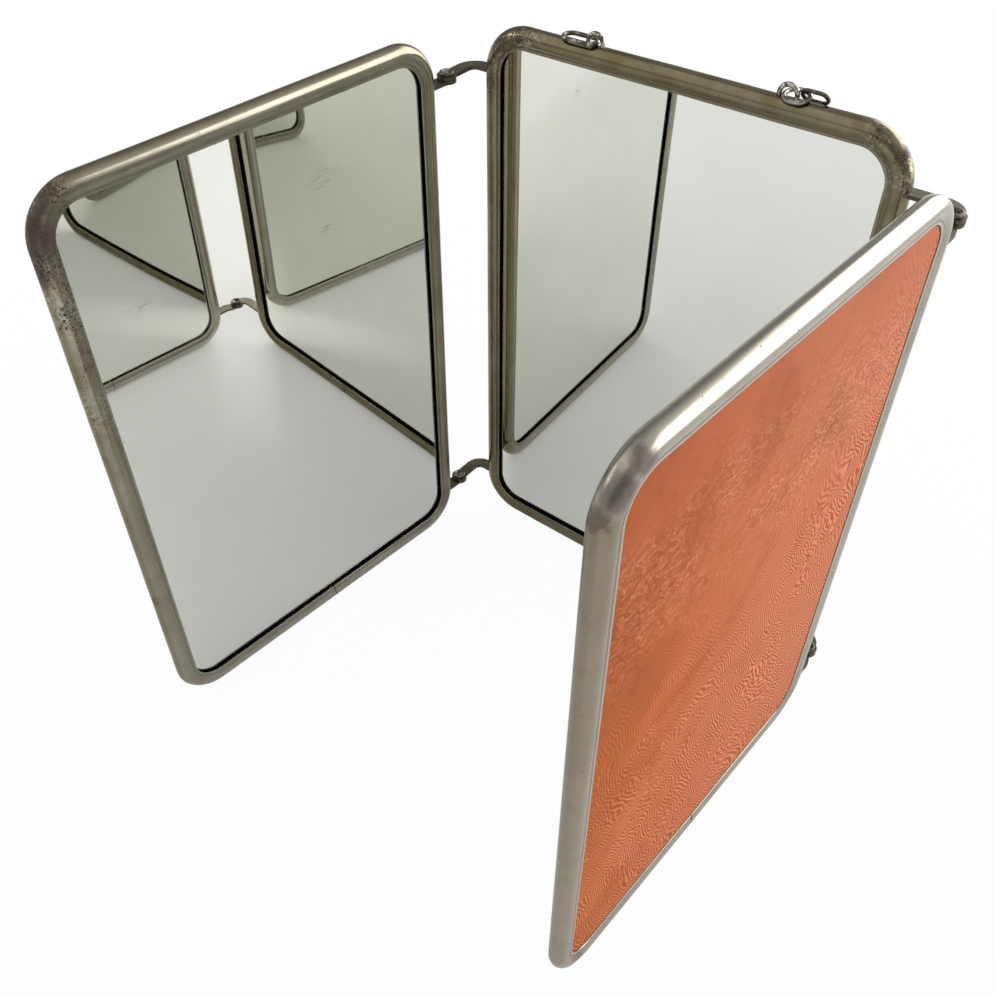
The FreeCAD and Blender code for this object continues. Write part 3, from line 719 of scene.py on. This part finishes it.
def channel_section(bm, at_x):
    """The rolled channel's section: round bead, soft shoulders, two lips with rounded edges, the hollow."""
    size = sizes()
    radius = size.bead
    inner_radius = radius - size.wall
    tip = size.wall / 2
    face = size.lip_face
    bead_side = face + SHOULDER_STEP
    hollow_side = face - size.wall
    edge = size.lip_inset - tip
    axis = Vector((1, 0, 0))
    middle = Vector((at_x, 0, radius))
    shoulder = radius + math.sqrt(radius ** 2 - bead_side ** 2)
    throat = radius + math.sqrt(inner_radius ** 2 - hollow_side ** 2)
    start_angle = math.atan2(bead_side, shoulder - radius)
    throat_angle = math.atan2(hollow_side, throat - radius)
    easing = ((0, shoulder + 0.55 * MM), (0.03 * MM, shoulder + 0.25 * MM), (SHOULDER_STEP, shoulder))
    pen = Pen(bm, (at_x, -face, edge), axis)
    for out, height in easing:
        pen.to((at_x, -face - out, height))
    pen.arc(middle, math.tau - 2 * start_angle, 32)
    for out, height in easing[1::-1]:
        pen.to((at_x, face + out, height))
    pen.to((at_x, face, edge))
    pen.arc(Vector((at_x, face - tip, edge)), math.pi, 5)
    pen.to((at_x, hollow_side, throat))
    pen.arc(middle, 2 * throat_angle - math.tau, 14)
    pen.to((at_x, -hollow_side, edge))
    pen.arc(Vector((at_x, -face + tip, edge)), math.pi, 5)
    weld(bm)


def frame_sweep(panel):
    """The section taken round the panel, from one side of the butt seam to the other."""
    size = sizes()
    bm = bmesh.new()
    start = size_of(panel, "seam") + size.seam_gap / 2
    end = size_of(panel, "seam") - size.seam_gap / 2
    channel_section(bm, start)
    section = list(bm.verts) + list(bm.edges)
    cap(bm, section)
    corners = corner_centres()
    run_x, low = corners[0]
    high = corners[1][1]
    moves = ((run_x - start, 0, 0), (0, 0, high - low), (-2 * run_x, 0, 0), (0, 0, low - high))
    longest_step = 6 * MM

    def straight(geometry, move):
        return run(bm, geometry, move, max(2, round(Vector(move).length / longest_step)))

    for move, (x, z) in zip(moves, corners):
        section = bend(bm, straight(section, move), (x, 0, z), BACK, -QUARTER, 16)
    cap(bm, straight(section, (end + run_x, 0, 0)))
    weld(bm)
    return bm


def hand_rolled(bm, seed):
    """Make the bead a little uneven, as bending by hand leaves it, but leave its foot flat."""
    size = sizes()
    half = size.panel_width / 2
    for vert in bm.verts:
        x, y, z = vert.co
        if z < 1.0 * MM:
            continue
        wave = noise.noise(Vector((x, 0, z)) * 22 + Vector((seed, 0, 0)))
        dent = noise.noise(Vector((x, y, z)) * 110 + Vector((0, seed, 0)))
        if min(half - abs(x), z, size.panel_height - z) < size.lip_inset + 1 * MM:
            direction = Vector((x, 0, z - size.panel_height / 2)).normalized()
            vert.co += direction * (wave * 0.16 * MM + dent * 0.035 * MM)
        vert.co.y += dent * 0.03 * MM


def path_place(x, z):
    """Distance along the outline from the middle of the foot, and inset from the outer edge, of a point."""
    size = sizes()
    corners = corner_centres()
    run_x, low = corners[0]
    high = corners[1][1]
    quarter = QUARTER * size.corner
    tall = high - low
    if z <= low and abs(x) <= run_x:
        return x if x >= 0 else x + 4 * run_x + 2 * tall + 4 * quarter, z
    # the distance at which each corner begins
    begins = (run_x, run_x + quarter + tall, 3 * run_x + 2 * quarter + tall,
              3 * run_x + 3 * quarter + 2 * tall)
    for number, ((centre_x, centre_z), begin) in enumerate(zip(corners, begins)):
        dx, dz = x - centre_x, z - centre_z
        if dx * centre_x >= 0 and dz * (centre_z - size.panel_height / 2) >= 0:
            angle = (math.atan2(dz, dx) - (number - 1) * QUARTER) % math.tau
            return begin + angle * size.corner, size.corner - math.hypot(dx, dz)
    if z >= high:
        return begins[1] + quarter + (run_x - x), size.panel_height - z
    if x > 0:
        return begins[0] + quarter + (z - low), size.panel_width / 2 - x
    return begins[2] + quarter + (high - z), size.panel_width / 2 + x


def map_flow(mesh, place):
    """Write the piece's map: place(co) gives its two numbers, in metres."""
    layer = mesh.uv_layers.new(name="flow")
    for loop in mesh.loops:
        layer.data[loop.index].uv = place(mesh.vertices[loop.vertex_index].co)


def cutter_box(bm, low, high):
    """One box-shaped cut."""
    made = bmesh.ops.create_cube(bm, size=1.0)
    spread = Vector(high) - Vector(low)
    middle = (Vector(high) + Vector(low)) / 2
    bmesh.ops.scale(bm, vec=spread, verts=made["verts"])
    bmesh.ops.translate(bm, vec=middle, verts=made["verts"])


def cut_openings(piece, panel):
    """Cut the hinge slots and the wire holes through the bead."""
    size = sizes()
    cuts = bmesh.new()
    half = size.panel_width / 2
    room = size.slot_room
    across = size.arm_width / 2 + room
    # a wing's strips lie under the centre's, and enter the wing on the side toward the centre
    drop = 0 if panel == "centre" else size.arm_thickness + size.arm_gap
    for side, sign in SIDE.items():
        if panel == side:
            continue
        near, far = sorted((sign * (half + 2 * MM), sign * (half - size.bead)))
        for level in ARM_LEVELS.values():
            base = level * MM - drop
            cutter_box(cuts, (near, -across, base - room), (far, across, base + size.arm_thickness + room))
    if panel == "centre":
        for middle in (-size.eye_spacing / 2, size.eye_spacing / 2):
            for leg in (-size.eye_arch, size.eye_arch):
                hole = Matrix.Translation((middle + size.eye_shift + leg, 0, size.panel_height))
                radius = size.eye_wire + room / 2
                bmesh.ops.create_cone(cuts, cap_ends=True, segments=24, radius1=radius, radius2=radius,
                                      depth=2 * size.bead, matrix=hole)
    cutter = link_piece("cutter", cuts, ())
    modifier = piece.modifiers.new("openings", "BOOLEAN")
    modifier.operation = "DIFFERENCE"
    modifier.solver = "EXACT"
    modifier.object = cutter
    bpy.context.view_layer.update()
    graph = bpy.context.evaluated_depsgraph_get()
    cut = bpy.data.meshes.new_from_object(piece.evaluated_get(graph))
    piece.modifiers.clear()
    piece.data = cut
    bpy.data.objects.remove(cutter)


def build_frame(panel):
    bead = sizes().bead
    bm = frame_sweep(panel)
    hand_rolled(bm, {"centre": 3.1, "left": 7.7, "right": 12.9}[panel])
    piece = link_piece("%s_channel" % panel, bm, [nickel_finish(panel)])
    cut_openings(piece, panel)
    piece.data.set_sharp_from_angle(angle=math.radians(40))
    lip_start = bead * 1.72

    def place(co):
        along, inset = path_place(co.x, co.z)
        round_bead = math.atan2(co.y, bead - inset)
        return along, round_bead * bead + math.copysign(max(0.0, inset - lip_start), co.y)

    map_flow(piece.data, place)
    set_in_place(piece.data, panel)
    dress(piece, PANEL_BODY[panel], "nickel_frame", "%s_frame" % panel)


# ------------------------------ glass and covers

def rounded_sheet(bm, inset, low_y, high_y, bevel, trim=None):
    """A rounded rectangle inset from the panel's outline, drawn at low_y and thickened to high_y."""
    size = sizes()
    corners = corner_centres()
    run_x, low = corners[0]
    high = corners[1][1]
    side = size.panel_width / 2 - inset
    starts = ((run_x, inset), (side, high), (-run_x, size.panel_height - inset), (-side, low))
    pen = Pen(bm, (-run_x, low_y, inset), BACK)
    for (x, z), (centre_x, centre_z) in zip(starts, corners):
        pen.to((x, low_y, z))
        pen.arc((centre_x, low_y, centre_z), -QUARTER, 14)
    weld(bm)
    if trim:
        trim(bm)
    bmesh.ops.contextual_create(bm, geom=list(bm.edges))
    made = bmesh.ops.extrude_face_region(bm, geom=list(bm.faces))
    bmesh.ops.translate(bm, vec=(0, high_y - low_y, 0), verts=verts_of(made["geom"]))
    rim = [edge for edge in bm.edges if abs(edge.verts[0].co.y - edge.verts[1].co.y) < 1e-7]
    bmesh.ops.bevel(bm, geom=rim, offset=bevel, offset_type="OFFSET", segments=2, profile=0.5,
                    affect="EDGES", material=-1)


def finish_sheet(bm, panel, name, finish, slot, node):
    """Set a flat sheet in its panel, flat-shaded and mapped across and up."""
    piece = link_piece("%s_%s" % (panel, name), bm, [finish], 10)
    map_flow(piece.data, lambda co: (co.x, co.z))
    set_in_place(piece.data, panel)
    dress(piece, PANEL_BODY[panel], slot, "%s_%s" % (panel, node))


def build_glass(panel, finish):
    """The silvered sheet. Its face is set back to where the silver appears to lie."""
    size = sizes()
    bm = bmesh.new()
    silver_face = size_of(panel, "silver") - size.glass_face
    rounded_sheet(bm, size.sheet_inset, silver_face, size.glass_back, 0.15 * MM)
    finish_sheet(bm, panel, "silvered_sheet", finish, "mirror_glass", "mirror_glass")


def build_cover(panel, finish, seed):
    """The cover sheet, cut and laid by hand: its edge wanders and leaves a narrow gap by the lip."""
    size = sizes()

    def hand_cut(bm):
        longest = [edge for edge in bm.edges if edge.calc_length() > 20 * MM]
        bmesh.ops.subdivide_edges(bm, edges=longest, cuts=24)
        for vert in bm.verts:
            x, _, z = vert.co
            wander = noise.noise(Vector((x * 26, seed, z * 26))) * 0.10 * MM
            direction = Vector((x, 0, z - size.panel_height / 2)).normalized()
            vert.co += direction * wander

    bm = bmesh.new()
    rounded_sheet(bm, size.cover_inset, size.cover_front, size.cover_back, 0.05 * MM, hand_cut)
    bmesh.ops.translate(bm, vec=(0.25 * MM, 0, 0.25 * MM), verts=bm.verts)
    finish_sheet(bm, panel, "cover_sheet", finish, "back_cover", "back_cover")


# ------------------------------ rivets and wire

def turn_rivet(pin, level):
    """A tubular rivet: a rolled rim round a dished middle above, and a flat head below."""
    size = sizes()
    top = level * MM + size.arm_thickness
    under = level * MM - size.arm_thickness - 2 * size.arm_gap
    head = size.head
    rim_foot = top + size.head_height
    bottom = under - size.head_height
    dish = ((0.55 * MM, top + 0.12 * MM), (0.95 * MM, top + 0.30 * MM), (1.20 * MM, rim_foot))
    outside = ((head, top + 0.26 * MM), (head, top + 0.08 * MM), (head - 0.12 * MM, top), (size.shank, top),
               (size.shank, under), (head - 0.15 * MM, under), (head, under - 0.15 * MM),
               (head - 0.10 * MM, bottom + 0.14 * MM), (head - 0.45 * MM, bottom), (0, bottom))
    bm = bmesh.new()
    pen = Pen(bm, (0, 0, top + 0.10 * MM), Vector((0, -1, 0)))
    for out, height in dish:
        pen.to((out, 0, height))
    pen.arc((size.rim, 0, rim_foot), -math.pi, 9)
    for out, height in outside:
        pen.to((out, 0, height))
    bend(bm, list(bm.verts) + list(bm.edges), (0, 0, 0), UP, math.tau, 40, merge=True)
    weld(bm)
    bmesh.ops.translate(bm, vec=pin, verts=bm.verts)
    shape = bpy.data.meshes.new("rivet")
    bm.to_mesh(shape)
    bm.free()
    return shape


def build_rivets(finish):
    """The four rivets, as one piece."""
    bm = bmesh.new()
    for side in SIDE:
        for level in ARM_LEVELS.values():
            shape = turn_rivet(pin_point(side), level)
            bm.from_mesh(shape)
            bpy.data.meshes.remove(shape)
    dress(link_piece("rolled_rivets", bm, [finish], 35), "centre", "rivet", "pivot_rivets")


def wire_section(bm, at, facing, radius):
    """A round wire's section, the first thing in its bmesh, at a point and square to a direction."""
    turned = Vector(facing).to_track_quat("Z", "Y").to_matrix().to_4x4()
    bmesh.ops.create_circle(bm, cap_ends=False, segments=16, radius=radius,
                            matrix=Matrix.Translation(at) @ turned)
    return list(bm.verts) + list(bm.edges)


# the loose loops: the side they lie to, length, width and radius of the wire's middle line and of the wire,
# tilt in degrees, and the near end's place, with no height where the loop rests on the top bar; millimetres
LOOPS = {
    "left_link": (-1, 12.3, 5.4, 0.74, 1.0, (-31.3, 0, None)),
    "right_ring": (1, 7.4, 6.4, 0.7, 10.0, (33.15, 0, None)),
    "right_link": (1, 7.8, 4.1, 0.6, 122.3, (37.42, 2.32, 220.82)),
}


def build_eye(side, finish):
    """A bent wire eye: foot, leg, arch, leg, foot."""
    size = sizes()
    bm = bmesh.new()
    middle = SIDE[side] * size.eye_spacing / 2 + size.eye_shift
    foot_depth = 2.2 * MM
    foot_bend = 1.0 * MM
    foot = 3.0 * MM
    foot_z = size.panel_height - size.wall - foot_depth
    spring = size.panel_height + size.eye_spring
    left = middle - size.eye_arch
    right = middle + size.eye_arch
    leg = spring - foot_z - foot_bend
    section = wire_section(bm, (left - foot, 0, foot_z), (1, 0, 0), size.eye_wire)
    cap(bm, section)
    section = run(bm, section, (foot - foot_bend, 0, 0), 2)
    section = bend(bm, section, (left - foot_bend, 0, foot_z + foot_bend), BACK, -QUARTER, 6)
    section = run(bm, section, (0, 0, leg), 4)
    section = bend(bm, section, (middle, 0, spring), BACK, math.pi, 24)
    section = run(bm, section, (0, 0, -leg), 4)
    section = bend(bm, section, (right + foot_bend, 0, foot_z + foot_bend), BACK, -QUARTER, 6)
    section = run(bm, section, (foot - foot_bend, 0, 0), 2)
    cap(bm, section)
    dress(link_piece("%s_wire_eye" % side, bm, [finish]), "centre", "wire", "%s_hanging_eye" % side)


def oval_loop(bm, sign, long, wide, wire):
    """A closed oval of wire from its near end at the origin, lying flat."""
    half = wide / 2
    straight = long - wide
    section = wire_section(bm, (sign * half, -half, 0), (sign, 0, 0), wire)
    if straight > 0:
        section = run(bm, section, (sign * straight, 0, 0), 6)
    section = bend(bm, section, (sign * (half + straight), 0, 0), UP, sign * math.pi, 20)
    if straight > 0:
        section = run(bm, section, (-sign * straight, 0, 0), 6)
    bend(bm, section, (sign * half, 0, 0), UP, sign * math.pi, 20)
    weld(bm, 0.00001)


def resting_height(wire, tilt):
    """The height, in millimetres, at which a tilted loop just clears the round top bar."""
    bead = sizes().bead / MM
    clearance = 0.06
    return sizes().panel_height / MM - bead + (bead + wire + clearance) / math.cos(math.radians(tilt))


def build_loop(name, finish):
    """A loose oval loop tilted about its length, with its near end at its place."""
    sign, long, wide, wire, tilt, (x, y, z) = LOOPS[name]
    bm = bmesh.new()
    oval_loop(bm, sign, long * MM, wide * MM, wire * MM)
    near = Vector((x, y, z or resting_height(wire, tilt))) * MM
    placed = Matrix.Translation(near) @ Matrix.Rotation(math.radians(tilt), 4, "X")
    bmesh.ops.transform(bm, matrix=placed, verts=bm.verts)
    dress(link_piece("%s_wire" % name, bm, [finish]), name, "wire", name)


def finish_nodes(ending, finish):
    """Give a finish to the solid parts whose names have an ending."""
    for name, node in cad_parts.items():
        if name.endswith(ending):
            node.data.materials.clear()
            node.data.materials.append(finish)


# ------------------------------ operators

class MIRROR_OT_frames(bpy.types.Operator):
    """Roll the three nickel frames"""

    bl_idname = "mirror.frames"
    bl_label = "Frames"

    def execute(self, context):
        for panel in PANELS:
            build_frame(panel)
        return {"FINISHED"}


class MIRROR_OT_glass(bpy.types.Operator):
    """Silver and set the three glasses"""

    bl_idname = "mirror.glass"
    bl_label = "Glass"

    def execute(self, context):
        for panel in PANELS:
            build_glass(panel, silver_finish(panel))
        return {"FINISHED"}


class MIRROR_OT_covers(bpy.types.Operator):
    """Cut the grained covers for the backs"""

    bl_idname = "mirror.covers"
    bl_label = "Back covers"

    def execute(self, context):
        finish = cover_finish()
        for number, panel in enumerate(PANELS):
            build_cover(panel, finish, 4.3 + number)
        return {"FINISHED"}


class MIRROR_OT_hinges(bpy.types.Operator):
    """Finish the hinge strips and set the rivets"""

    bl_idname = "mirror.hinges"
    bl_label = "Hinges"

    def execute(self, context):
        finish_nodes("_arm", strip_finish())
        build_rivets(wire_finish("rivet_metal", 0.35))
        return {"FINISHED"}


class MIRROR_OT_wires(bpy.types.Operator):
    """Bend the hanging eyes and hang the loose links on them"""

    bl_idname = "mirror.wires"
    bl_label = "Eyes and links"

    def execute(self, context):
        bright = wire_finish("bright_wire", 0.0)
        # the darker copies used on the links are partly painted shade
        worn = wire_finish("worn_wire", 0.45)
        dull = wire_finish("dull_wire", 1.0)
        for side in SIDE:
            build_eye(side, bright)
        build_loop("left_link", worn)
        build_loop("right_ring", bright)
        build_loop("right_link", dull)
        return {"FINISHED"}


class MIRROR_OT_boards(bpy.types.Operator):
    """Finish the boards and splices inside the frames"""

    bl_idname = "mirror.boards"
    bl_label = "Boards and splices"

    def execute(self, context):
        finish_nodes("_backing_board", board_finish())
        finish_nodes("_splice", bpy.data.materials["browned_strip"])
        return {"FINISHED"}


# each soft box: its place, the point that it is aimed at, its width and height, and its power in watts
LAMPS = {
    "window": ((0.80, 1.30, 0.72), (0.0, -0.05, 0.12), 2.4, 1.44, 34),
    "ceiling": ((-0.60, -0.85, 1.22), (0.0, -0.08, 0.10), 2.4, 1.9, 9),
    "glint": ((-1.25, -0.72, 0.82), (-0.05, -0.08, 0.02), 0.60, 0.36, 2.4),
}


def soft_light(name):
    """One of the soft boxes."""
    place, aim, width, height, power = LAMPS[name]
    lamp = bpy.data.lights.new(name, "AREA")
    lamp.shape = "RECTANGLE"
    lamp.size = width
    lamp.size_y = height
    lamp.energy = power
    light = stand(name, lamp)
    light.location = place
    light.rotation_euler = (Vector(aim) - Vector(place)).to_track_quat("-Z", "Y").to_euler()


# a strip of painted light on the floor between the centre and the right wing, seen in reflections: where it
# starts, and which way it runs
STRIP_START = (0.080, -0.012)
STRIP_RUN = (-0.837, -0.546)


def floor_finish():
    """A pale matt surface that the camera sees as white, with the mirror's shadow left on it, and with
    painted light where reflections see it.
    """
    material, paint = new_material("pale_floor")
    to_camera, to_mirror, through_glass = (paint.add("ShaderNodeLightPath", output=n) for n in (0, 3, 6))
    place = paint.place()
    far = paint.distance(place, (0.0, -0.09, 0.0))
    away = far.ramp(0.16, 0.9)
    side, back, _ = paint.split(place)
    # painted light seen in reflections: the ground is brightest outside the right wing, towards the window,
    # and far off in front
    painted_bright_ground = side.ramp(0.080, 0.150).most((side + back).ramp(0.08, 0.45))
    painted_bright_ground = painted_bright_ground.most(far.ramp(0.45, 0.90) * 0.85)
    side_on, back_on = side - STRIP_START[0], back - STRIP_START[1]
    along = side_on * STRIP_RUN[0] + back_on * STRIP_RUN[1]
    off = (side_on * STRIP_RUN[1] - back_on * STRIP_RUN[0]).size()
    strip = off.fade(0.007, 0.022) * along.fade(0.0, 0.12) * along.ramp(-0.03, 0.0)
    matt = paint.add("ShaderNodeBsdfDiffuse", None, {"Color": opaque(colours().floor)})
    white = paint.add("ShaderNodeEmission", None, {"Color": (1, 1, 1, 1), "Strength": 1.0})
    seen = to_camera * (0.960 + away * 0.040)
    glow = (0.225 + away * 0.18 + painted_bright_ground * 0.60 + strip * 0.22).least(1.0)
    mirrored = to_mirror.most(through_glass) * glow
    mixed = paint.add("ShaderNodeMixShader", None, {0: seen.most(mirrored), 1: matt, 2: white})
    paint.add("ShaderNodeOutputMaterial", None, {"Surface": mixed})
    return material


# where the studio air is lightest, on the window's side
WINDOW_SKY = (0.62, 0.62, 0.48)


def studio_world():
    """Grey studio air for light, and white for what the camera sees behind the floor."""
    world = bpy.data.worlds.new("studio")
    world.use_nodes = True
    paint = Paint(world.node_tree)
    direction = paint.add("ShaderNodeTexCoord", output=0)
    towards = {0: direction, 1: WINDOW_SKY}
    facing = paint.add("ShaderNodeVectorMath", {"operation": "DOT_PRODUCT"}, towards, output=1)
    camera = paint.add("ShaderNodeLightPath", output=0)
    height = paint.split(direction)[2]
    horizon = height.size().fade(0.0, 0.22, 0.30)
    level = 0.30 + facing.ramp(0.2, 1.0) * 0.45 + height.ramp(0.3, 1.0) * 0.12 + horizon
    dark = paint.add("ShaderNodeBackground", None, {"Color": (0, 0, 0, 1), "Strength": 1.0})
    pale = paint.add("ShaderNodeBackground", None, {"Color": (1, 1, 1, 1), "Strength": 1.0})
    air = paint.add("ShaderNodeMixShader", None, {0: camera.most(level), 1: dark, 2: pale})
    paint.add("ShaderNodeOutputWorld", None, {"Surface": air})
    bpy.context.scene.world = world


class MIRROR_OT_stage(bpy.types.Operator):
    """Set out the floor, the lights and the camera"""

    bl_idname = "mirror.stage"
    bl_label = "Stage"

    def execute(self, context):
        scene = context.scene
        bm = bmesh.new()
        bmesh.ops.create_grid(bm, x_segments=1, y_segments=1, size=6.0)
        floor = link_piece("floor", bm, [floor_finish()])
        studio_world()
        for name in LAMPS:
            soft_light(name)
        camera = bpy.data.cameras.new("camera")
        camera.sensor_fit = "HORIZONTAL"
        camera.sensor_width = 36.0
        camera.lens = 37.481
        camera.shift_x = 0.0456
        camera.shift_y = 0.0052
        camera.clip_start = 0.01
        eye = stand("camera", camera)
        eye.location = (0.15233, -0.28223, 0.34463)
        eye.rotation_euler = [math.radians(angle) for angle in (45.892, 1.656, 40.226)]
        scene.camera = eye
        scene.view_settings.view_transform = "Standard"
        return {"FINISHED"}


class MIRROR_PT_panel(bpy.types.Panel):
    """The mirror's sizes, colours and steps"""

    bl_idname = "MIRROR_PT_panel"
    bl_label = "Trifold mirror"
    bl_space_type = "VIEW_3D"
    bl_region_type = "UI"
    bl_category = "Mirror"

    def draw(self, context):
        layout = self.layout
        for group in (context.scene.mirror_sizes, context.scene.mirror_colours):
            box = layout.box()
            for name in group.__annotations__:
                box.prop(group, name)
        for step in STEPS:
            layout.operator(step.bl_idname)


STEPS = (MIRROR_OT_frames, MIRROR_OT_glass, MIRROR_OT_covers, MIRROR_OT_hinges, MIRROR_OT_wires,
         MIRROR_OT_boards, MIRROR_OT_stage)
CLASSES = (MirrorSizes, MirrorColours) + STEPS + (MIRROR_PT_panel,)


def register():
    for item in CLASSES:
        bpy.utils.register_class(item)
    bpy.types.Scene.mirror_sizes = PointerProperty(type=MirrorSizes)
    bpy.types.Scene.mirror_colours = PointerProperty(type=MirrorColours)


def unregister():
    del bpy.types.Scene.mirror_sizes
    del bpy.types.Scene.mirror_colours
    for item in reversed(CLASSES):
        bpy.utils.unregister_class(item)


def main():
    register()
    bpy.ops.mirror.frames()
    bpy.ops.mirror.glass()
    bpy.ops.mirror.covers()
    bpy.ops.mirror.hinges()
    bpy.ops.mirror.wires()
    bpy.ops.mirror.boards()
    bpy.ops.mirror.stage()


if __name__ == "__main__":
    main()
